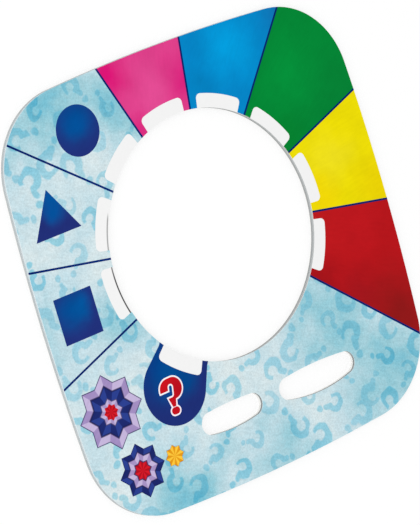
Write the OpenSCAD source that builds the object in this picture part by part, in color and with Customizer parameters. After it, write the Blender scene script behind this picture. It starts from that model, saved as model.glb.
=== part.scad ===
// Board of a face guessing game: a square of thick, printed, die-cut greyboard.
// It has slightly bowed sides, one large round hole above its middle and two slots below it.
// The board lies on the XY plane with its printed face up and its slots towards -Y.
// The origin is the middle of the outline, on the underside.

/* [Board outline] */
// Width of the board, and its height, across the middles of the bowed sides
board_w = 230; // [228:1:260]
// Radius of the bowed sides
side_r = 1130; // [800:10:2500]
// Radius of the outer corners
corner_r = 44; // [36:1:54]

/* [Layers] */
// Thickness of the greyboard core
core_t = 2.6; // [1.6:0.1:4]
// Thickness of the white paper on the face
face_t = 0.2; // [0.15:0.01:0.4]
// Thickness of the lining paper on the back
back_t = 0.2; // [0.15:0.01:0.4]
// Thickness of one film of ink, drawn far thicker than real ink
ink_t = 0.03; // [0.02:0.005:0.06]

/* [Round hole] */
// Radius of the round hole
hole_r = 65.5; // [60:0.5:69]
// Height of the hole's middle above the middle of the board
hole_up = 12.6; // [10:0.2:16]

/* [Slots] */
// Radius of the slots' round ends
slot_end_r = 6; // [4.5:0.1:7.5]
// Radius of the slots' upper edges
slot_upper_r = 190; // [120:5:400]
// Radius of the slots' lower edges
slot_lower_r = 88; // [70:1:200]
// Depth of the slots' end centres below the middle of the board
slot_down = 78.3; // [76:0.1:86]
// Length of the short slot on the left
short_slot_l = 40.6; // [30:0.2:44]
// Length of the long slot on the right
long_slot_l = 52.4; // [40:0.2:60]
// Width of the bridge between the two slots
slot_bridge = 12.2; // [8:0.2:20]
// Distance from the left edge of the board to the short slot
slot_inset = 74; // [68:0.2:78]

/* [Answer fields] */
// Angle between two neighbouring divider lines
field_step = 30; // [28:0.5:31]
// Angle of the first divider line, under the red field
first_line_angle = -40; // [-42:0.5:-38]
// Distance at which the divider lines pass beside the middle of the hole
line_offset = 2.6; // [0:0.1:5]
// Width of the divider lines
line_w = 1.1; // [0.6:0.1:2]
// Depth of the bare fields at the hole's rim
notch_depth = 7.6; // [5:0.1:9]
// Angle that a bare rim field spans
notch_angle = 22.5; // [16:0.5:24]
// Radius of a bare rim field's outer corners
notch_corner_r = 2.6; // [1:0.1:3.5]
// Distance by which the printed ring of rim fields sits to the left of the hole
ring_shift = 0.5; // [0:0.1:0.8]

/* [Symbols] */
// Radius of the printed circle
circle_r = 13.2; // [9:0.1:14]
// Distance from the rim field to the middle of the circle
circle_gap = 24.7; // [22:0.1:26]
// Angle by which the circle stands on from the middle of its field
circle_angle = 2; // [-2:0.1:3]
// Width of the printed triangle
triangle_w = 28.5; // [18:0.1:29.5]
// Height of the printed triangle
triangle_h = 23.7; // [16:0.1:25]
// Distance from the rim field to the middle of the triangle
triangle_gap = 25; // [22:0.1:26]
// Width of the printed square
square_w = 23.6; // [16:0.1:24.4]
// Height of the printed square, which is drawn a little taller than it is wide
square_h = 24.2; // [16:0.1:24.8]
// Distance from the rim field to the middle of the square
square_gap = 21.2; // [20:0.1:23]

/* [Question field] */
// Angle from the square's rim field to the question field
question_angle = 45.4; // [43:0.2:47]
// Radius of the rounded part of the question field
question_r = 19.5; // [18:0.1:21]
// Distance from the rim field to the middle of the rounded part
question_gap = 9.7; // [7:0.1:10]
// Width of the question field at the hole's rim
question_neck = 31.8; // [28:0.2:34]
// Distance from the rim field to the middle of the question mark
mark_gap = 14.1; // [13:0.1:15]
// Width of the question mark's hook
hook_w = 13.9; // [12.6:0.1:15]
// Radius of the hook's round sides
hook_r = 5.7; // [5.4:0.1:6.2]
// Distance of the hook's end below its middle
hook_end = 0.4; // [0:0.1:0.8]
// Radius of the opening inside the hook
opening_r = 1.7; // [1.4:0.1:1.9]
// Height of the opening's top end above the middle of the hook
opening_up = 0.9; // [0.4:0.1:1.4]
// Length of the opening between the middles of its ends
opening_l = 3.6; // [3.2:0.1:4.2]
// Angle by which the opening leans to the left on its way down
opening_lean = 12; // [8:1:20]
// Width of the stem at its top
stem_w = 4.9; // [4.4:0.1:5.4]
// Width of the stem at its foot
foot_w = 2; // [1.6:0.1:3]
// Distance of the stem's middle to the left of the hook's middle
stem_shift = 0.7; // [0.3:0.1:1]
// Length of the stem below the hook
stem_l = 3.6; // [2.6:0.1:4.2]
// Width of the dot
dot_w = 5.2; // [4:0.1:6]
// Radius of the dot's round sides
dot_r = 1.9; // [1.6:0.1:2]
// Space between the stem and the dot
dot_gap = 0.3; // [0.2:0.1:0.8]
// Width of the white line round the question mark
outline_w = 0.8; // [0.4:0.1:1]

/* [Corner ornament] */
// Space between the question field and the large star's tips
field_star_gap = 1.8; // [1:0.1:2.6]
// Space between the board's left edge and the large star's tips
edge_star_gap = 3.6; // [2.8:0.1:5]
// Height of the large star's middle below the middle of the board
large_star_down = 51.5; // [50:0.5:54]
// Radius of the small star, to its tips
small_star_r = 14.5; // [12:0.2:15]
// Sideways step from the large star to the small star
small_star_shift = 8; // [6:0.2:10]
// Space between the tips of two neighbouring stars
star_gap = 0.8; // [0.4:0.1:2]
// Width of a coloured band in a star, between its tips, as a share of the star's radius
star_band = 0.31; // [0.24:0.01:0.32]
// Radius of the gold star beside the small star
gold_star_r = 6; // [4:0.1:7]

/* [Hidden] */

// Facets of the bowed sides, the slots' long edges and the smaller arcs, where they show as polygons
side_fn = 1440;
edge_fn = 720;
arc_fn = 180;

// Heights of the layers, from the underside up
core_z = back_t;
face_z = core_z + core_t;
field_z = face_z + face_t;
symbol_z = field_z + ink_t;
outline_z = symbol_z + ink_t;
mark_z = outline_z + ink_t;

// A length that reaches past the board from anywhere on it
far = 2 * board_w;
// A length that stays within the hole
near = hole_r / 2;

// By how much a round end reaches past the long arc that it runs into, so that the two cross cleanly
cross_over = 0.03;
// Middle of a corner's arc, which runs into the arcs of both sides
side_c = side_r - board_w / 2;
side_q = side_r - corner_r;
corner_c = (sqrt(2 * side_q * side_q - side_c * side_c) - side_c) / 2;
// Far point in the direction in which a corner's arc meets the side to its left or right
meet_x = corner_c + far * (corner_c + side_c) / side_q;
meet_y = corner_c + far * corner_c / side_q;

notch_r = hole_r + notch_depth;
short_slot_x = -board_w / 2 + slot_inset + short_slot_l / 2;
long_slot_x = short_slot_x + short_slot_l / 2 + slot_bridge + long_slot_l / 2;

// The divider lines look drawn by hand: each has its own small turn and its own small step sideways
line_turns = [-1.6, -0.2, -0.7, -0.4, 1.3, 0.6, 1.9, 0, -0.8];
line_shifts = [1.6, -0.2, 0.8, 0.6, -0.8, -0.2, -2, 0.1, 1.4];
// Direction of a divider line
function line_dir(k) = first_line_angle + k * field_step + line_turns[k];
// Middle of the rim field between line k and the next one, evenly spaced round the hole
function field_angle(k) = first_line_angle + (k + 0.5) * field_step + asin(line_offset / hole_r);
// Point on divider line k, at a distance along it, moved sideways
function on_line(k, along, side = 0) = let (off = line_offset + line_shifts[k] + side)
    [along * cos(line_dir(k)) - off * sin(line_dir(k)),
     along * sin(line_dir(k)) + off * cos(line_dir(k))];

// Divider lines and fields, counted from the line under the red field
red_k = 0;
yellow_k = 1;
green_k = 2;
blue_k = 3;
pink_k = 4;
circle_k = 5;
triangle_k = 6;
square_k = 7;
last_line = 8;
question_dir = field_angle(square_k) + question_angle;
question_mid_r = notch_r + question_gap;

// Lower end of the opening in the question mark, and heights down from the middle of the hook
opening_x = opening_l * sin(opening_lean);
stem_top = opening_l * cos(opening_lean) - opening_up + opening_r;
stem_foot = hook_r + stem_l;
dot_down = stem_foot + dot_gap + dot_r;
mark_down = (dot_down + dot_r - hook_r) / 2;

// The large star fills the room between the board's left edge and the question field
star_left_x = -board_w / 2 + edge_star_gap;
star_right_x = question_mid_r * cos(question_dir) - question_r - field_star_gap;
large_star_x = (star_left_x + star_right_x) / 2;
large_star_r = (star_right_x - star_left_x) / 2;
small_star_x = large_star_x + small_star_shift;
star_reach = large_star_r + small_star_r + star_gap;
small_star_down = large_star_down + sqrt(star_reach * star_reach - small_star_shift * small_star_shift);
gold_star_x = small_star_x + small_star_r + star_gap + gold_star_r;

// Outline: four bowed sides that run into four round corners
module outline_2d() {
    intersection() {
        intersection_for (turn = [0:90:270]) rotate(turn) translate([-side_c, 0])
            circle(side_r, $fn = side_fn);
        union() {
            polygon([for (turn = [0:90:270], p = [[meet_x, -meet_y], [meet_x, meet_y], [corner_c, corner_c]])
                     [p.x * cos(turn) - p.y * sin(turn), p.x * sin(turn) + p.y * cos(turn)]]);
            for (turn = [0:90:270]) rotate(turn) translate([corner_c, corner_c])
                circle(corner_r + cross_over, $fn = arc_fn);
        }
    }
}

// One slot: an upper and a lower arc that run into two round ends
module slot_2d(l) {
    end_x = l / 2 - slot_end_r;
    up_q = slot_upper_r - slot_end_r;
    low_q = slot_lower_r - slot_end_r;
    up_y = sqrt(up_q * up_q - end_x * end_x);
    low_y = sqrt(low_q * low_q - end_x * end_x);
    up_x = end_x * (1 + l / up_q);
    low_x = end_x * (1 + l / low_q);
    intersection() {
        translate([0, -up_y]) circle(slot_upper_r, $fn = edge_fn);
        translate([0, low_y]) circle(slot_lower_r, $fn = edge_fn);
        union() {
            polygon([[up_x, l * up_y / up_q], [end_x, 0], [low_x, -l * low_y / low_q],
                     [-low_x, -l * low_y / low_q], [-end_x, 0], [-up_x, l * up_y / up_q]]);
            for (side = [-1, 1]) translate([side * end_x, 0])
                circle(slot_end_r + cross_over, $fn = arc_fn);
        }
    }
}

module slots_2d() {
    translate([short_slot_x, -slot_down]) slot_2d(short_slot_l);
    translate([long_slot_x, -slot_down]) slot_2d(long_slot_l);
}

module hole_2d() {
    translate([0, hole_up]) circle(hole_r, $fn = arc_fn);
}

// The die-cut shape that the core and both papers share
module board_2d() {
    difference() {
        outline_2d();
        hole_2d();
        slots_2d();
    }
}

// A bare field at the hole's rim, centred on an angle, with two rounded outer corners
module notch_2d(angle) {
    half = notch_angle / 2;
    mid_r = notch_r - notch_corner_r;
    corner_angle = asin(notch_corner_r / mid_r);
    translate([-ring_shift, hole_up]) rotate(angle) {
        intersection() {
            circle(mid_r, $fn = arc_fn);
            fan_2d(half);
        }
        intersection() {
            circle(notch_r, $fn = arc_fn);
            fan_2d(half - corner_angle);
        }
        for (side = [-1, 1]) rotate(side * (half - corner_angle)) translate([mid_r, 0])
            circle(notch_corner_r, $fn = arc_fn);
    }
}

// A triangle from the middle of the hole, past the rim field
module fan_2d(half) {
    polygon([[0, 0], [notch_r * 2, -notch_r * 2 * tan(half)], [notch_r * 2, notch_r * 2 * tan(half)]]);
}

// The slice of the board between divider lines first and last
module slice_2d(first, last) {
    translate([0, hole_up])
        polygon([on_line(first, near), for (k = [first:last]) on_line(k, far), on_line(last, near)]);
}

// One coloured field between two divider lines
module colour_field(k) {
    translate([0, 0, field_z]) linear_extrude(ink_t) difference() {
        intersection() {
            outline_2d();
            slice_2d(k, k + 1);
        }
        hole_2d();
        notch_2d(field_angle(k));
    }
}

// A symbol's place, out from the rim field at an angle round the hole, standing upright
module out_from_hole(angle, r) {
    translate([r * cos(angle), hole_up + r * sin(angle)]) children();
}

// A film of ink over the coloured fields
module over_print(z = symbol_z) {
    translate([0, 0, z]) linear_extrude(ink_t) children();
}

// A film of the corner ornament, cut off where the board ends
module ornament_print(z = symbol_z) {
    over_print(z) intersection() {
        outline_2d();
        union() children();
    }
}

// An upright question mark, with the middle of its hook at the origin, grown by a margin
module question_2d(grow = 0) {
    difference() {
        round_bar_2d(hook_w - 2 * hook_r, hook_r + grow);
        translate([0, opening_up]) rotate(-90 - opening_lean) translate([opening_l / 2, 0])
            round_bar_2d(opening_l, opening_r - grow);
        translate([-hook_w, -hook_w]) square([hook_w - opening_x, hook_w - hook_end - grow]);
    }
    polygon([[-stem_shift - stem_w / 2 - grow, -stem_top + grow],
             [-stem_shift - foot_w / 2 - grow, -stem_foot - grow],
             [-stem_shift + foot_w / 2 + grow, -stem_foot - grow],
             [-stem_shift + stem_w / 2 + grow, -stem_top + grow]]);
    translate([-stem_shift, -dot_down]) round_bar_2d(dot_w - 2 * dot_r, dot_r + grow);
}

// A bar with round ends, with a length between the middles of its ends and half its width as radius
module round_bar_2d(l, r) {
    for (side = [-1, 1]) translate([side * l / 2, 0]) circle(r, $fn = arc_fn);
    translate([-l / 2, -r]) square([l, 2 * r]);
}

// Where the question mark stands, with its middle on the axis of its field
module question_place() {
    out_from_hole(question_dir, notch_r + mark_gap) translate([0, mark_down]) children();
}

// An eight-pointed star of two crossed squares, out to its tips
module star_2d(r) {
    for (turn = [0, 45]) rotate(turn) circle(r, $fn = 4);
}

// A band of a star of radius r, inwards from a number of bands inside its tips
module star_band_2d(r, bands = 0) {
    difference() {
        star_2d(r * (1 - bands * star_band));
        star_2d(r * (1 - (bands + 1) * star_band));
    }
}

module at_large_star() {
    translate([large_star_x, -large_star_down]) children();
}

module at_small_star() {
    translate([small_star_x, -small_star_down]) children();
}

module greyboard_core() {
    color("#b4b4b2") translate([0, 0, core_z]) linear_extrude(core_t) board_2d();
}

module face_paper() {
    color("#f4f4f4") translate([0, 0, face_z]) linear_extrude(face_t) board_2d();
}

module back_paper() {
    color("#e4e2dc") linear_extrude(back_t) board_2d();
}

// The pale blue ground, under the symbols, the question field and the ornament
module ground_field() {
    color("#bfdfe8") translate([0, 0, field_z]) linear_extrude(ink_t) difference() {
        board_2d();
        slice_2d(red_k, circle_k);
        for (k = [circle_k:square_k]) notch_2d(field_angle(k));
        notch_2d(question_dir);
    }
}

module pink_field() {
    color("#dd3f8a") colour_field(pink_k);
}

module blue_field() {
    color("#0288c9") colour_field(blue_k);
}

module green_field() {
    color("#028a36") colour_field(green_k);
}

module yellow_field() {
    color("#eedf04") colour_field(yellow_k);
}

module red_field() {
    color("#b8141c") colour_field(red_k);
}

// Nine navy lines from the hole's rim to the board's edge
module divider_lines() {
    color("#0f2a6e") over_print() difference() {
        intersection() {
            outline_2d();
            translate([0, hole_up]) for (k = [0:last_line])
                polygon([on_line(k, near, -line_w / 2), on_line(k, far, -line_w / 2),
                         on_line(k, far, line_w / 2), on_line(k, near, line_w / 2)]);
        }
        hole_2d();
    }
}

module circle_symbol() {
    color("#123a84") over_print()
        out_from_hole(field_angle(circle_k) + circle_angle, notch_r + circle_gap)
            circle(circle_r, $fn = arc_fn);
}

module triangle_symbol() {
    color("#123a84") over_print() out_from_hole(field_angle(triangle_k), notch_r + triangle_gap)
        translate([0, -triangle_h / 3])
            polygon([[-triangle_w / 2, 0], [triangle_w / 2, 0], [0, triangle_h]]);
}

module square_symbol() {
    color("#123a84") over_print()
        out_from_hole(field_angle(square_k), notch_r + square_gap)
            square([square_w, square_h], center = true);
}

// A dark blue field that widens from the rim into a round end
module question_field() {
    neck_angle = atan2(question_r - question_neck / 2, question_mid_r - hole_r);
    color("#123a84") over_print() difference() {
        translate([0, hole_up]) rotate(question_dir) {
            translate([question_mid_r, 0]) circle(question_r, $fn = arc_fn);
            polygon([[near, -question_neck / 2], [hole_r, -question_neck / 2],
                     [question_mid_r - question_r * sin(neck_angle), -question_r * cos(neck_angle)],
                     [question_mid_r - question_r * sin(neck_angle), question_r * cos(neck_angle)],
                     [hole_r, question_neck / 2], [near, question_neck / 2]]);
        }
        hole_2d();
        slots_2d();
        notch_2d(question_dir);
    }
}

module question_outline() {
    color("#ffffff") over_print(outline_z) question_place() question_2d(outline_w);
}

module question_mark() {
    color("#c8102a") over_print(mark_z) question_place() question_2d();
}

module star_lavender() {
    color("#b3a0cc") ornament_print() {
        at_large_star() star_band_2d(large_star_r);
        at_large_star() star_2d(large_star_r * (1 - 2 * star_band));
        at_small_star() star_2d(small_star_r * (1 - star_band));
    }
}

module star_navy() {
    color("#26307a") ornament_print() {
        at_large_star() star_band_2d(large_star_r, 1);
        at_small_star() star_band_2d(small_star_r);
    }
}

module star_red() {
    color("#c8102a") ornament_print(outline_z) {
        at_large_star() star_2d(large_star_r * (1 - 2.5 * star_band));
        at_small_star() star_2d(small_star_r * (1 - 2 * star_band));
    }
}

module star_gold() {
    color("#f0a818") ornament_print()
        translate([gold_star_x, -small_star_down]) star_2d(gold_star_r);
}

greyboard_core();
face_paper();
back_paper();
ground_field();
pink_field();
blue_field();
green_field();
yellow_field();
red_field();
divider_lines();
circle_symbol();
triangle_symbol();
square_symbol();
question_field();
question_outline();
question_mark();
star_lavender();
star_navy();
star_red();
star_gold();
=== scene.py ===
import math

import bpy
from mathutils import Matrix, Vector

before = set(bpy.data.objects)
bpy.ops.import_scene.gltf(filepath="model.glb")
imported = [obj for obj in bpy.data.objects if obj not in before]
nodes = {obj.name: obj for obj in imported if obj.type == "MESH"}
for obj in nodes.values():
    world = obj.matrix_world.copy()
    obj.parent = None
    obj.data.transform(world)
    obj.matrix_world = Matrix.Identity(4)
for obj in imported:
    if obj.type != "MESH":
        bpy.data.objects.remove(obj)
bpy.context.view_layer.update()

# The view: the board lies flat, and the camera looks down on it from beyond its upper left side.
# A long lens from almost two metres away keeps the board's sides nearly parallel. The camera is
# rolled so that the board's top edge points up in the picture.
MM = 0.001
aim = Vector((-7.2, -0.33, 3.0)) * MM
eye_distance = 1.89465
eye_azimuth = math.radians(164.0564)
eye_elevation = math.radians(54.1178)
camera_roll = math.radians(86.5358)

eye_side = Vector((math.cos(eye_azimuth), math.sin(eye_azimuth), 0)) * math.cos(eye_elevation)
eye_up = Vector((0, 0, math.sin(eye_elevation)))
eye = aim + (eye_side + eye_up) * eye_distance
turn = (aim - eye).to_track_quat("-Z", "Y").to_matrix().to_4x4()
bpy.ops.object.camera_add()
camera = bpy.context.object
camera.matrix_world = Matrix.Translation(eye) @ turn @ Matrix.Rotation(camera_roll, 4, "Z")
camera.data.lens = 252.447
camera.data.sensor_width = 36
bpy.context.scene.camera = camera
bpy.context.scene.view_settings.view_transform = "Standard"


# The floor: a wide, pale, matt table top under an even white dome of light, with one large soft lamp
# to the left. Together they light a level surface so that it shows its colour as it is written. To
# the camera the floor is nearly a white backdrop, but it keeps the board's soft shadow.
def srgb(code):
    """The linear colour that a six-digit sRGB hex code stands for."""
    channels = [int(code[i:i + 2], 16) / 255 for i in (0, 2, 4)]
    return [c / 12.92 if c <= 0.04045 else ((c + 0.055) / 1.055) ** 2.4 for c in channels] + [1]


def add(tree, kind, inputs=None, **settings):
    """Adds a node with its settings. Each input gets a value or the socket that feeds it."""
    new = tree.nodes.new("ShaderNode" + kind)
    for name, value in settings.items():
        setattr(new, name, value)
    for socket, value in (inputs or {}).items():
        if isinstance(value, bpy.types.NodeSocket):
            tree.links.new(value, new.inputs[socket])
        else:
            new.inputs[socket].default_value = value
    return new


def material(name):
    """A new material with an empty tree, and its tree."""
    new = bpy.data.materials.new(name)
    new.use_nodes = True
    new.node_tree.nodes.clear()
    return new, new.node_tree


DOME_STRENGTH = 0.86
LAMP_PLACE = (-1.7, 0.1, 1.3)
LAMP_POWER = 11.5
LAMP_SIZE = 1.6
FLOOR_SIZE = 6
# The share of its light that the floor gives off by itself where the camera sees it.
BACKDROP_SHARE = 0.65
# The floor lies this far below the board. It is clear from below, and to light that starts closer to
# it than the second distance, so that the underside of the board shows.
FLOOR_GAP = 0.05 * MM
SEE_THROUGH = 1 * MM

bpy.ops.mesh.primitive_plane_add(size=FLOOR_SIZE, location=(0, 0, -FLOOR_GAP))
floor = bpy.context.object
floor.name = "floor"
table_top, tree = material("matt_white_table_top")
table = add(tree, "BsdfDiffuse", {"Color": srgb("ffffff"), "Roughness": 0.5})
backdrop = add(tree, "Emission", {"Color": srgb("ffffff"), "Strength": 1})
path = add(tree, "LightPath")
seen = add(tree, "Math", {0: path.outputs["Is Camera Ray"], 1: path.outputs["Is Glossy Ray"]},
           operation="MAXIMUM")
seen = add(tree, "Math", {0: seen.outputs[0], 1: path.outputs["Is Transmission Ray"]}, operation="MAXIMUM")
share = add(tree, "Math", {0: seen.outputs[0], 1: BACKDROP_SHARE}, operation="MULTIPLY")
top = add(tree, "MixShader", {0: share.outputs[0], 1: table.outputs[0], 2: backdrop.outputs[0]})
close = add(tree, "Math", {0: path.outputs["Ray Length"], 1: SEE_THROUGH}, operation="LESS_THAN")
hidden = add(tree, "Math", {0: add(tree, "NewGeometry").outputs["Backfacing"], 1: close.outputs[0]},
             operation="MAXIMUM")
clear = add(tree, "BsdfTransparent")
top = add(tree, "MixShader", {0: hidden.outputs[0], 1: top.outputs[0], 2: clear.outputs[0]})
add(tree, "OutputMaterial", {"Surface": top.outputs[0]})
floor.data.materials.append(table_top)

world = bpy.data.worlds.new("white_dome")
bpy.context.scene.world = world
world.use_nodes = True
world.node_tree.nodes.clear()
dome = add(world.node_tree, "Background", {"Color": srgb("ffffff"), "Strength": DOME_STRENGTH})
add(world.node_tree, "OutputWorld", {"Surface": dome.outputs[0]})

bpy.ops.object.light_add(type="AREA", location=LAMP_PLACE)
lamp = bpy.context.object
lamp.data.energy = LAMP_POWER
lamp.data.size = LAMP_SIZE
lamp.rotation_euler = (aim - lamp.location).to_track_quat("-Z", "Y").to_euler()


# The greyboard core: 2.6 mm of grey recycled pulp, pressed in thin plies and cut with a steel rule. It
# shows only at the cut edge, pale at the top of the outer side, as if the knife had dragged the face
# paper over it. In the hole the wall is painted darker, most of all low down, as painted shade. In the
# slots the lower wall is painted nearly white, as painted light from the white floor, and the upper wall
# dark grey, as painted shade under the edge of the face paper.
RELIEF = 0.04 * MM
WEAK_GLOSS = 0.015


def paper_shader(tree, colour, roughness, bump):
    """The surface of paper or board: matt, with a very weak gloss and a fine relief."""
    relief = add(tree, "Bump", {"Height": bump, "Distance": RELIEF, "Strength": 0.5})
    surface = add(tree, "BsdfPrincipled", {
        "Base Color": colour, "Roughness": roughness, "IOR": 1.5,
        "Specular IOR Level": WEAK_GLOSS, "Normal": relief.outputs[0]})
    add(tree, "OutputMaterial", {"Surface": surface.outputs[0]})


def place(tree):
    """Where a point of the board is, in millimetres, so a pattern's scale counts per millimetre."""
    here = add(tree, "TexCoord").outputs["Object"]
    return add(tree, "VectorMath", {0: here, "Scale": 1 / MM}, operation="SCALE").outputs[0]


def mix(tree, share, first, second, blend="MIX"):
    """The colour between two colours, or the first one worked on by the second."""
    new = add(tree, "Mix", {0: share, 6: first, 7: second}, data_type="RGBA", blend_type=blend)
    return new.outputs[2]


# In millimetres: the thickness of one ply and the length over which it keeps its tone, how ragged the
# fibres make the border between two tones, and the heights over which the dragged paper sets in at
# the outer edge and the painted shade and light on the walls of the hole and the slots go from their
# lower to their upper tone.
PLY, PLY_LENGTH = 0.35, 4
RAGGED = 1.2
DRAGGED_FROM, DRAGGED_FULL = 2.3, 3.1
PAINTED_SHADING_FROM, PAINTED_SHADING_TO = 1.7, 2.4
# In millimetres, as in the solid model: the middle of the board's thickness, the middles of the hole
# and of the pair of slots, and how far from each its cut wall reaches. The slots lie side by side, so
# a distance to the side of their middle counts as a quarter of itself.
HALF_HEIGHT = 1.5
HOLE_MIDDLE = (0, 12.6)
HOLE_REACH = 67
SLOTS_MIDDLE = (8, -78.3)
SLOTS_REACH = 16
SLOTS_SHAPE = (0.25, 1, 1)

greyboard, tree = material("die_cut_greyboard")
spot = place(tree)
plies = add(tree, "VectorMath", {0: spot, 1: (1 / PLY_LENGTH, 1 / PLY_LENGTH, 1 / PLY)},
            operation="MULTIPLY")
layers = add(tree, "TexNoise", {"Vector": plies.outputs[0], "Scale": 1, "Detail": 3})
fibres = add(tree, "TexNoise", {"Vector": spot, "Scale": 3, "Detail": 4, "Roughness": 0.7})
pulp = add(tree, "ValToRGB", {0: layers.outputs["Fac"]})
pulp.color_ramp.elements[0].position, pulp.color_ramp.elements[1].position = 0.35, 0.65
pulp.color_ramp.elements[0].color, pulp.color_ramp.elements[1].color = srgb("b2b8ba"), srgb("c2c8ca")
axes = add(tree, "SeparateXYZ", {0: spot})
ragged = add(tree, "Math", {0: fibres.outputs["Fac"], 1: RAGGED, 2: axes.outputs["Z"]},
             operation="MULTIPLY_ADD")
dragged = add(tree, "MapRange", {0: ragged.outputs[0], 1: DRAGGED_FROM, 2: DRAGGED_FULL, 4: 0.75})
edge = mix(tree, dragged.outputs[0], pulp.outputs[0], srgb("d2dfe4"))
to_hole = add(tree, "VectorMath", {0: spot, 1: (*HOLE_MIDDLE, HALF_HEIGHT)}, operation="DISTANCE")
in_hole = add(tree, "Math", {0: to_hole.outputs["Value"], 1: HOLE_REACH}, operation="LESS_THAN")
# Painted light and shade on the cut walls: 0 low down, 1 high up.
painted_wall_shading = add(tree, "MapRange", {0: ragged.outputs[0], 1: PAINTED_SHADING_FROM, 2: PAINTED_SHADING_TO})
# Painted shade in the hole: the wall is darker, most of all low down.
hole_wall_painted_shade = mix(tree, painted_wall_shading.outputs[0], srgb("a4a7a8"), srgb("babdbd"))
edge = mix(tree, in_hole.outputs[0], edge, hole_wall_painted_shade)
off_slots = add(tree, "VectorMath", {0: spot, 1: (*SLOTS_MIDDLE, HALF_HEIGHT)}, operation="SUBTRACT")
off_slots = add(tree, "VectorMath", {0: off_slots.outputs[0], 1: SLOTS_SHAPE}, operation="MULTIPLY")
to_slots = add(tree, "VectorMath", {0: off_slots.outputs[0]}, operation="LENGTH")
in_slots = add(tree, "Math", {0: to_slots.outputs["Value"], 1: SLOTS_REACH}, operation="LESS_THAN")
# Painted light and shade in the slots: nearly white low down, as if lit by the white floor, and dark grey
# high up, in the shade of the paper's edge.
slot_wall_painted_light_and_shade = mix(tree, painted_wall_shading.outputs[0], srgb("f8f8f6"), srgb("8f9495"))
edge = mix(tree, in_slots.outputs[0], edge, slot_wall_painted_light_and_shade)
paper_shader(tree, edge, 0.85, fibres.outputs["Fac"])
nodes["greyboard_core"].data.materials[0] = greyboard


# The back paper: a thin, off-white, uncoated lining that keeps the board from curling. It is
# glued on before the board is cut, and shows a cloudy formation, fibres and specks of recycled pulp.
# The fibres and specks are drawn about three times as coarse as real ones, so that they show.

# Nearly all of a noise pattern lies between these two values.
LOW, HIGH = 0.3, 0.7

back_lining, tree = material("uncoated_lining_paper")
spot = place(tree)
formation = add(tree, "TexNoise", {"Vector": spot, "Scale": 0.11, "Detail": 6, "Roughness": 0.7})
cloud = add(tree, "ValToRGB", {0: formation.outputs["Fac"]})
cloud.color_ramp.elements[0].position, cloud.color_ramp.elements[1].position = LOW, HIGH
cloud.color_ramp.elements[0].color, cloud.color_ramp.elements[1].color = srgb("d5d1c6"), srgb("ece9e2")
fibres = add(tree, "TexNoise", {"Vector": spot, "Scale": 0.9, "Detail": 5, "Roughness": 0.65})
fibre_tone = add(tree, "MapRange", {0: fibres.outputs["Fac"], 1: LOW, 2: HIGH, 3: 0.94, 4: 1.04})
lining = mix(tree, 1.0, cloud.outputs[0], fibre_tone.outputs[0], "MULTIPLY")
specks = add(tree, "TexVoronoi", {"Vector": spot, "Scale": 0.13})
speck = add(tree, "MapRange", {0: specks.outputs["Distance"], 1: 0.05, 2: 0.09, 3: 0.5, 4: 0.0})
lining = mix(tree, speck.outputs[0], lining, srgb("8f877c"))
paper_shader(tree, lining, 0.9, fibres.outputs["Fac"])
nodes["back_paper"].data.materials[0] = back_lining


# The face paper: white coated paper that carries the print. It stays bare in nine round-cornered
# fields at the rim of the hole. In the triangle's and the square's field a thin dark grey line runs
# along the rim, on the left of the hole only and darker towards the bottom.

# In millimetres: the distance of the rim line from the middle of the hole, and half its width, where it
# is full and where it is gone. Then, from that middle, how far to the left it starts and is full, and
# the heights between which it grows darker on its way down.
RIM_LINE_RADIUS = 66.25
RIM_LINE_CORE, RIM_LINE_GONE = 0.3, 0.5
RIM_LINE_START, RIM_LINE_FULL = -58.5, -60.0
RIM_LINE_PALE, RIM_LINE_DARK = 10.0, -2.0

face_white, tree = material("white_coated_paper")
spot = place(tree)
fibres = add(tree, "TexNoise", {"Vector": spot, "Scale": 0.8, "Detail": 5, "Roughness": 0.6})
white = mix(tree, fibres.outputs["Fac"], srgb("f1f1f1"), srgb("f7f7f7"))
from_hole = add(tree, "VectorMath", {0: spot, 1: (*HOLE_MIDDLE, 0)}, operation="SUBTRACT")
flat = add(tree, "VectorMath", {0: from_hole.outputs[0], 1: (1, 1, 0)}, operation="MULTIPLY")
radius = add(tree, "VectorMath", {0: flat.outputs[0]}, operation="LENGTH").outputs["Value"]
# A thin dark grey line along the rim of the hole, on the far left only, darker towards the bottom.
off_rim_line = add(tree, "Math", {0: radius, 1: RIM_LINE_RADIUS}, operation="SUBTRACT")
off_rim_line = add(tree, "Math", {0: off_rim_line.outputs[0]}, operation="ABSOLUTE")
rim_line = add(tree, "MapRange", {0: off_rim_line.outputs[0], 1: RIM_LINE_CORE, 2: RIM_LINE_GONE, 3: 1.0, 4: 0.0})
across = add(tree, "SeparateXYZ", {0: flat.outputs[0]})
to_left = add(tree, "MapRange", {0: across.outputs["X"], 1: RIM_LINE_START, 2: RIM_LINE_FULL})
lower = add(tree, "MapRange", {0: across.outputs["Y"], 1: RIM_LINE_PALE, 2: RIM_LINE_DARK, 3: 0.6, 4: 1.0})
rim_line_share = add(tree, "Math", {0: rim_line.outputs[0], 1: lower.outputs[0]}, operation="MULTIPLY")
rim_line_share = add(tree, "Math", {0: rim_line_share.outputs[0], 1: to_left.outputs[0]}, operation="MULTIPLY")
with_rim_line = mix(tree, rim_line_share.outputs[0], white, srgb("4c4c4c"))
paper_shader(tree, with_rim_line, 0.5, fibres.outputs["Fac"])
nodes["face_paper"].data.materials[0] = face_white


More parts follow.
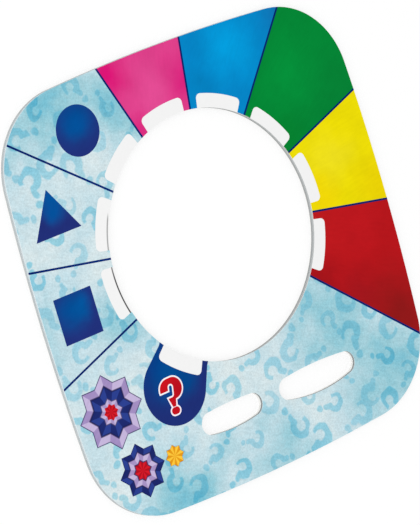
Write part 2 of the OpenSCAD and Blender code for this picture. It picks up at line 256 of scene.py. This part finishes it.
# The ground print: a pale blue wash, as if painted with a wet brush on grained paper, with loose
# question marks in a deeper tone of the same blue. The wash is deepest along the top edge at the
# left, at the lower left edge and in the lower right corner.
def question_marks(tree, spot, corner, seed):
    """A layer of loose question marks, one in each square of a grid, turned and sized at random."""
    pitch, jitter, wobble_size = 27.5, 2, 3
    smallest, largest, palest = 0.78, 1.22, 0.6
    grid = add(tree, "VectorMath", {0: spot, 1: (1 / pitch, 1 / pitch, 0), 2: corner},
               operation="MULTIPLY_ADD")
    square = add(tree, "VectorMath", {0: grid.outputs[0]}, operation="FLOOR")
    square = add(tree, "VectorMath", {0: square.outputs[0], 1: (0.5, 0.5, seed)}, operation="ADD")
    chance = add(tree, "TexWhiteNoise", {"Vector": square.outputs[0]}, noise_dimensions="3D")
    luck = add(tree, "SeparateColor", {0: chance.outputs["Color"]})
    beside = add(tree, "TexWhiteNoise", {"Vector": chance.outputs["Color"]}, noise_dimensions="3D")
    inside = add(tree, "VectorMath", {0: grid.outputs[0]}, operation="FRACTION")
    inside = add(tree, "VectorMath", {0: inside.outputs[0], 1: (pitch, pitch, 0),
                                      2: (jitter - pitch / 2, jitter - pitch / 2, 0)},
                 operation="MULTIPLY_ADD")
    moved = add(tree, "VectorMath", {0: beside.outputs["Color"], 1: (-2 * jitter, -2 * jitter, 0),
                                     2: inside.outputs[0]}, operation="MULTIPLY_ADD")
    angle = add(tree, "Math", {0: luck.outputs[0], 1: math.tau}, operation="MULTIPLY")
    turned = add(tree, "VectorRotate", {"Vector": moved.outputs[0], "Angle": angle.outputs[0]},
                 rotation_type="Z_AXIS")
    growth = add(tree, "MapRange", {0: luck.outputs[1], 3: smallest, 4: largest})
    sized = add(tree, "VectorMath", {0: turned.outputs[0], "Scale": growth.outputs[0]}, operation="SCALE")
    wobble = add(tree, "TexNoise", {"Vector": spot, "Scale": 0.15, "Detail": 1})
    pen = add(tree, "VectorMath", {0: wobble.outputs["Color"], 1: (wobble_size, wobble_size, 0),
                                   2: sized.outputs[0]}, operation="MULTIPLY_ADD")
    pen = add(tree, "VectorMath", {0: pen.outputs[0], 1: (wobble_size / 2, 5.0, 0)},
              operation="SUBTRACT").outputs[0]

    # The hook, about the middle of its round: an outer and an inner circle, open to the lower left.
    outer_r, inner_r, inner_x, end_x, end_y, softness = 5.7, 2.6, -1.0, 0.0, -0.9, 0.8
    to_middle = add(tree, "VectorMath", {0: pen}, operation="LENGTH")
    outer = add(tree, "Math", {0: to_middle.outputs["Value"], 1: outer_r}, operation="SUBTRACT")
    to_inner = add(tree, "VectorMath", {0: pen, 1: (inner_x, 0, 0)}, operation="DISTANCE")
    inner = add(tree, "Math", {0: inner_r, 1: to_inner.outputs["Value"]}, operation="SUBTRACT")
    axes = add(tree, "SeparateXYZ", {0: pen})
    right = add(tree, "Math", {0: axes.outputs["X"], 1: end_x}, operation="SUBTRACT")
    upper = add(tree, "Math", {0: axes.outputs["Y"], 1: end_y}, operation="SUBTRACT")
    open_side = add(tree, "Math", {0: right.outputs[0], 1: upper.outputs[0]}, operation="MAXIMUM")
    open_side = add(tree, "Math", {0: open_side.outputs[0], 1: -1}, operation="MULTIPLY")
    hook = add(tree, "Math", {0: outer.outputs[0], 1: inner.outputs[0], 2: softness},
               operation="SMOOTH_MAX")
    hook = add(tree, "Math", {0: hook.outputs[0], 1: open_side.outputs[0], 2: softness},
               operation="SMOOTH_MAX")

    # The stem, a short bar with round ends, and the dot below it.
    stem_x, stem_y, stem_half, stem_r, joined = -0.1, -5.4, 1.7, 1.5, 1.2
    off_stem = add(tree, "VectorMath", {0: pen, 1: (stem_x, stem_y, 0)}, operation="SUBTRACT")
    off_stem = add(tree, "VectorMath", {0: off_stem.outputs[0]}, operation="ABSOLUTE")
    off_stem = add(tree, "VectorMath", {0: off_stem.outputs[0], 1: (0, stem_half, 0)}, operation="SUBTRACT")
    off_stem = add(tree, "VectorMath", {0: off_stem.outputs[0], 1: (0, 0, 0)}, operation="MAXIMUM")
    off_stem = add(tree, "VectorMath", {0: off_stem.outputs[0]}, operation="LENGTH")
    stem = add(tree, "Math", {0: off_stem.outputs["Value"], 1: stem_r}, operation="SUBTRACT")

    dot_x, dot_y, dot_r = -0.6, -11.2, 1.95
    to_dot = add(tree, "VectorMath", {0: pen, 1: (dot_x, dot_y, 0)}, operation="DISTANCE")
    dot = add(tree, "Math", {0: to_dot.outputs["Value"], 1: dot_r}, operation="SUBTRACT")

    mark = add(tree, "Math", {0: hook.outputs[0], 1: stem.outputs[0], 2: joined}, operation="SMOOTH_MIN")
    mark = add(tree, "Math", {0: mark.outputs[0], 1: dot.outputs[0]}, operation="MINIMUM")
    soft_edge = 0.35
    within = add(tree, "MapRange", {0: mark.outputs[0], 1: soft_edge, 2: -soft_edge})
    strength = add(tree, "MapRange", {0: luck.outputs[2], 3: palest, 4: 1.0})
    return add(tree, "Math", {0: within.outputs[0], 1: strength.outputs[0]}, operation="MULTIPLY").outputs[0]


FACE_HEIGHT = 3


def wash(tree, spot, middle, reach):
    """1 at a place on the board, in millimetres, and falling to 0 at a distance from it."""
    away = add(tree, "VectorMath", {0: spot, 1: (*middle, FACE_HEIGHT)}, operation="DISTANCE")
    return add(tree, "MapRange", {0: away.outputs["Value"], 1: reach, 2: 0.0},
               interpolation_type="SMOOTHSTEP").outputs[0]


def drifting(tree, spot, size, drift):
    """The place, shifted at random by about a drift, so that what is placed by it gets loose edges."""
    cloud = add(tree, "TexNoise", {"Vector": spot, "Scale": 1 / size, "Detail": 3, "Roughness": 0.6})
    shift = add(tree, "VectorMath", {0: cloud.outputs["Color"], 1: (0.5, 0.5, 0.5)}, operation="SUBTRACT")
    # The noise strays from its middle by about a quarter, and four times that is the whole drift.
    shift = add(tree, "VectorMath", {0: shift.outputs[0], 1: (4 * drift, 4 * drift, 0), 2: spot},
                operation="MULTIPLY_ADD")
    return shift.outputs[0]


# Brush marks per millimetre along and across the brush, so one is about 8 mm long and 1.4 mm wide.
BRUSH_MARKS = (0.12, 0.7, 1)


def brushed(tree, spot, colour, angle, strength):
    """The colour with faint brush marks along a direction, given in degrees."""
    lined_up = add(tree, "VectorRotate", {"Vector": spot, "Angle": math.radians(-angle)},
                   rotation_type="Z_AXIS")
    strokes = add(tree, "VectorMath", {0: lined_up.outputs[0], 1: BRUSH_MARKS}, operation="MULTIPLY")
    brush = add(tree, "TexNoise", {"Vector": strokes.outputs[0], "Scale": 1, "Detail": 4, "Roughness": 0.6})
    streak = add(tree, "MapRange", {0: brush.outputs["Fac"], 1: LOW, 2: HIGH, 3: 1 - strength,
                                    4: 1 + strength})
    return mix(tree, 1.0, colour, streak.outputs[0], "MULTIPLY")


ground, tree = material("watercolour_wash_print")
spot = place(tree)
loose = drifting(tree, spot, 16, 7)
blots = add(tree, "TexNoise", {"Vector": spot, "Scale": 1 / 26, "Detail": 4, "Roughness": 0.6})
depth = add(tree, "MapRange", {0: blots.outputs["Fac"], 1: LOW, 2: HIGH, 3: -0.05, 4: 0.42}).outputs[0]
# Middle, reach and depth of each deep wash, in millimetres and as a share of the full depth.
DEEP_WASHES = (((-78, 114), 46, 0.75), ((-101, 88), 22, 0.2), ((-34, 94), 32, 0.6), ((-112, 0), 34, 0.35),
               ((-68, -8), 30, 0.5), ((-62, -114), 44, 0.7), ((-30, -94), 16, 0.2), ((0, -120), 48, 0.4),
               ((50, -44), 42, 0.5), ((84, -88), 60, 0.55))
for middle, reach, amount in DEEP_WASHES:
    share = wash(tree, loose, middle, reach)
    depth = add(tree, "Math", {0: share, 1: amount, 2: depth}, operation="MULTIPLY_ADD").outputs[0]
base = add(tree, "ValToRGB", {0: depth})
base.color_ramp.elements[0].color, base.color_ramp.elements[1].color = srgb("dbe8ea"), srgb("76bfd3")
base.color_ramp.elements.new(0.3).color = srgb("c6dfe7")
base.color_ramp.elements.new(0.7).color = srgb("9acdd9")
colour = base.outputs[0]
marks = add(tree, "Math", {0: question_marks(tree, spot, (0, 0, 0), 1),
                           1: question_marks(tree, spot, (0.5, 0.5, 0), 2)}, operation="MAXIMUM")
MARK_TONE = (0.45, 0.79, 0.9, 1)
colour = mix(tree, marks.outputs[0], colour, MARK_TONE, "MULTIPLY")
grain = add(tree, "TexNoise", {"Vector": spot, "Scale": 1.1, "Detail": 3, "Roughness": 0.6})
speckle = add(tree, "MapRange", {0: grain.outputs["Fac"], 1: LOW, 2: HIGH, 3: 0.88, 4: 1.1})
colour = mix(tree, 1.0, colour, speckle.outputs[0], "MULTIPLY")
paper_shader(tree, brushed(tree, spot, colour, -20, 0.05), 0.5, grain.outputs["Fac"])
nodes["ground_field"].data.materials[0] = ground


# The answer fields: five sectors in strong inks, printed up to the divider lines. Each looks
# hand painted: lighter pools in it, richer or darker colour towards its ends, and broad faint
# brush marks along it.
def painted(name, body, pools, angle=0, drift=5, strokes=0.03):
    """A material for ink that looks painted: a body colour and pools of other colours at places in mm."""
    new, tree = material(name)
    spot = place(tree)
    loose = drifting(tree, spot, 22, drift)
    clouds = add(tree, "TexNoise", {"Vector": spot, "Scale": 1 / 14, "Detail": 4, "Roughness": 0.6})
    unrest = add(tree, "MapRange", {0: clouds.outputs["Fac"], 1: LOW, 2: HIGH, 3: 0.95, 4: 1.05})
    colour = srgb(body)
    for middle, reach, code in pools:
        colour = mix(tree, wash(tree, loose, middle, reach), colour, srgb(code))
    colour = mix(tree, 1.0, colour, unrest.outputs[0], "MULTIPLY")
    grain = add(tree, "TexNoise", {"Vector": spot, "Scale": 1.3, "Detail": 3, "Roughness": 0.6})
    paper_shader(tree, brushed(tree, spot, colour, angle, strokes), 0.5, grain.outputs["Fac"])
    return new


nodes["pink_field"].data.materials[0] = painted("pink_offset_ink", "df408b", (
    ((-12, 92), 22, "e24b93"), ((-38, 112), 20, "dd1276"), ((12, 92), 22, "da1d7c"),
    ((-26, 78), 14, "dd2a80")), 75)
nodes["blue_field"].data.materials[0] = painted("blue_offset_ink", "0286c8", (
    ((42, 102), 26, "009ddd"), ((18, 88), 20, "0182c2"), ((84, 112), 24, "0f6fb0")), 50)
nodes["green_field"].data.materials[0] = painted("green_offset_ink", "018635", (
    ((76, 74), 34, "018f39"), ((104, 50), 40, "028034"), ((62, 44), 22, "02802f")), 35)
nodes["yellow_field"].data.materials[0] = painted("yellow_offset_ink", "eede04", (
    ((86, 26), 22, "efe01c"), ((74, 8), 18, "f2d803"), ((112, 2), 26, "ecd402")), 8)
nodes["red_field"].data.materials[0] = painted("red_offset_ink", "b6141a", (
    ((72, -6), 30, "be181d"), ((92, -12), 26, "bd161d"), ((56, -34), 24, "a21219"),
    ((80, -47), 22, "a2141b"), ((102, -66), 36, "901718")), -25)


# The divider lines: nine narrow navy lines, printed over the edges of the fields.
# Each runs from the rim of the hole to the outer edge of the board.
nodes["divider_lines"].data.materials[0] = painted("navy_line_ink", "03216a", (
    ((-60, 40), 60, "002a76"), ((30, 110), 60, "0c2266")))

# The symbols: a circle, a triangle and a square in dark blue, one in each of the shape fields.
# Each is painted from a bright blue in its upper half to a deep navy along its lower edge.
nodes["circle_symbol"].data.materials[0] = painted("dark_blue_ink_of_the_circle", "20307a", (
    ((-62, 95), 20, "004a92"), ((-62, 91), 11, "005099")), 30, 2.5)
nodes["triangle_symbol"].data.materials[0] = painted("dark_blue_ink_of_the_triangle", "212f78", (
    ((-88, 61), 15, "00529c"), ((-90, 54), 9, "00519c")), 60, 2)
nodes["square_symbol"].data.materials[0] = painted("dark_blue_ink_of_the_square", "20307a", (
    ((-96, 6), 17, "004c94"), ((-91, 5), 9, "00549c")), 10, 2.5)

# The question field: a dark blue field that hangs from the rim of the hole like a drop, with a
# heavy red question mark in it, set off by a thin white line.
nodes["question_field"].data.materials[0] = painted("dark_blue_ink_of_the_question_field", "1e2f76", (
    ((-54, -40), 28, "003f88"), ((-50, -48), 17, "004e95"), ((-44, -54), 12, "00458a")), 50, 3)
nodes["question_outline"].data.materials[0] = painted("white_line_ink", "fbf3fa", (
    ((-53, -50), 12, "ffffff"),))
nodes["question_mark"].data.materials[0] = painted("bright_red_ink", "c40f1e", (
    ((-56, -48), 9, "d2141f"), ((-47, -56), 8, "b80d1c")), 30, 2)


# The corner ornament: eight-pointed stars, each of two crossed squares, in lavender, navy and red,
# with a small gold star beside them. Each point has a light and a dark side, as if it were
# folded, and each band has a thin dark edge, painted in.

# Middle and radius of each star, in millimetres, as in the solid model, and the height that parts the
# large star from the small one.
LARGE_STAR = ((-91.45, -51.5), 19.95)
SMALL_STAR = ((-83.45, -85.83), 14.5)
GOLD_STAR = ((-62.15, -85.83), 6)
BETWEEN_STARS = -71.4
STAR_POINTS = 8
# Half the width of a star's dark line, as a share of the star's radius: where it is full, and gone.
LINE_FULL, LINE_GONE = 0.025, 0.04


def star_paint(name, light, dark, edges, stars):
    """Ink on faceted stars: two tones, and a dark edge at each given share of a star's radius."""
    new, tree = material(name)
    spot = place(tree)
    (first, first_r), (second, second_r) = stars
    axes = add(tree, "SeparateXYZ", {0: spot})
    below = add(tree, "Math", {0: axes.outputs["Y"], 1: BETWEEN_STARS}, operation="LESS_THAN")
    middle = add(tree, "Mix", {0: below.outputs[0], 4: (*first, 0), 5: (*second, 0)}, data_type="VECTOR")
    radius = add(tree, "Mix", {0: below.outputs[0], 2: first_r, 3: second_r}, data_type="FLOAT")
    away = add(tree, "VectorMath", {0: spot, 1: middle.outputs[1]}, operation="SUBTRACT")
    arms = add(tree, "VectorMath", {0: away.outputs[0]}, operation="ABSOLUTE")
    reach = add(tree, "SeparateXYZ", {0: arms.outputs[0]})
    upright = add(tree, "Math", {0: reach.outputs[0], 1: reach.outputs[1]}, operation="ADD")
    level = add(tree, "Math", {0: reach.outputs[0], 1: reach.outputs[1]}, operation="MAXIMUM")
    level = add(tree, "Math", {0: level.outputs[0], 1: math.sqrt(2)}, operation="MULTIPLY")
    out = add(tree, "Math", {0: upright.outputs[0], 1: level.outputs[0]}, operation="MINIMUM")
    out = add(tree, "Math", {0: out.outputs[0], 1: radius.outputs[0]}, operation="DIVIDE").outputs[0]

    side = add(tree, "SeparateXYZ", {0: away.outputs[0]})
    round_angle = add(tree, "Math", {0: side.outputs[1], 1: side.outputs[0]}, operation="ARCTAN2")
    points = add(tree, "Math", {0: round_angle.outputs[0], 1: STAR_POINTS / math.tau},
                 operation="MULTIPLY")
    fold = add(tree, "Math", {0: points.outputs[0]}, operation="FRACT")
    shade = add(tree, "MapRange", {0: fold.outputs[0], 1: 0.48, 2: 0.52})
    pale = add(tree, "MapRange", {0: out, 1: 0.2, 2: 1.0, 3: 0.25, 4: 0.0})
    shade = add(tree, "Math", {0: shade.outputs[0], 1: pale.outputs[0]}, operation="SUBTRACT", use_clamp=True)
    colour = mix(tree, shade.outputs[0], srgb(light), srgb(dark))
    for share in edges:
        off_edge = add(tree, "Math", {0: out, 1: share}, operation="SUBTRACT")
        off_edge = add(tree, "Math", {0: off_edge.outputs[0]}, operation="ABSOLUTE")
        line = add(tree, "MapRange", {0: off_edge.outputs[0], 1: LINE_FULL, 2: LINE_GONE, 3: 0.85, 4: 0.0})
        colour = mix(tree, line.outputs[0], colour, srgb("1a1c50"))
    grain = add(tree, "TexNoise", {"Vector": spot, "Scale": 1.3, "Detail": 3, "Roughness": 0.6})
    paper_shader(tree, brushed(tree, spot, colour, 40, 0.06), 0.5, grain.outputs["Fac"])
    return new


two_stars = (LARGE_STAR, SMALL_STAR)
nodes["star_lavender"].data.materials[0] = star_paint(
    "lavender_ink", "c6b6dc", "a18cc0", (1, 0.69, 0.38), two_stars)
nodes["star_navy"].data.materials[0] = star_paint(
    "navy_ink_of_the_stars", "2c4090", "1b2566", (1, 0.69), two_stars)
nodes["star_red"].data.materials[0] = star_paint(
    "red_ink_of_the_stars", "d81a28", "a50d1b", (0.38,), two_stars)
nodes["star_gold"].data.materials[0] = star_paint(
    "gold_ink", "ffc93c", "e39512", (1,), (GOLD_STAR, GOLD_STAR))
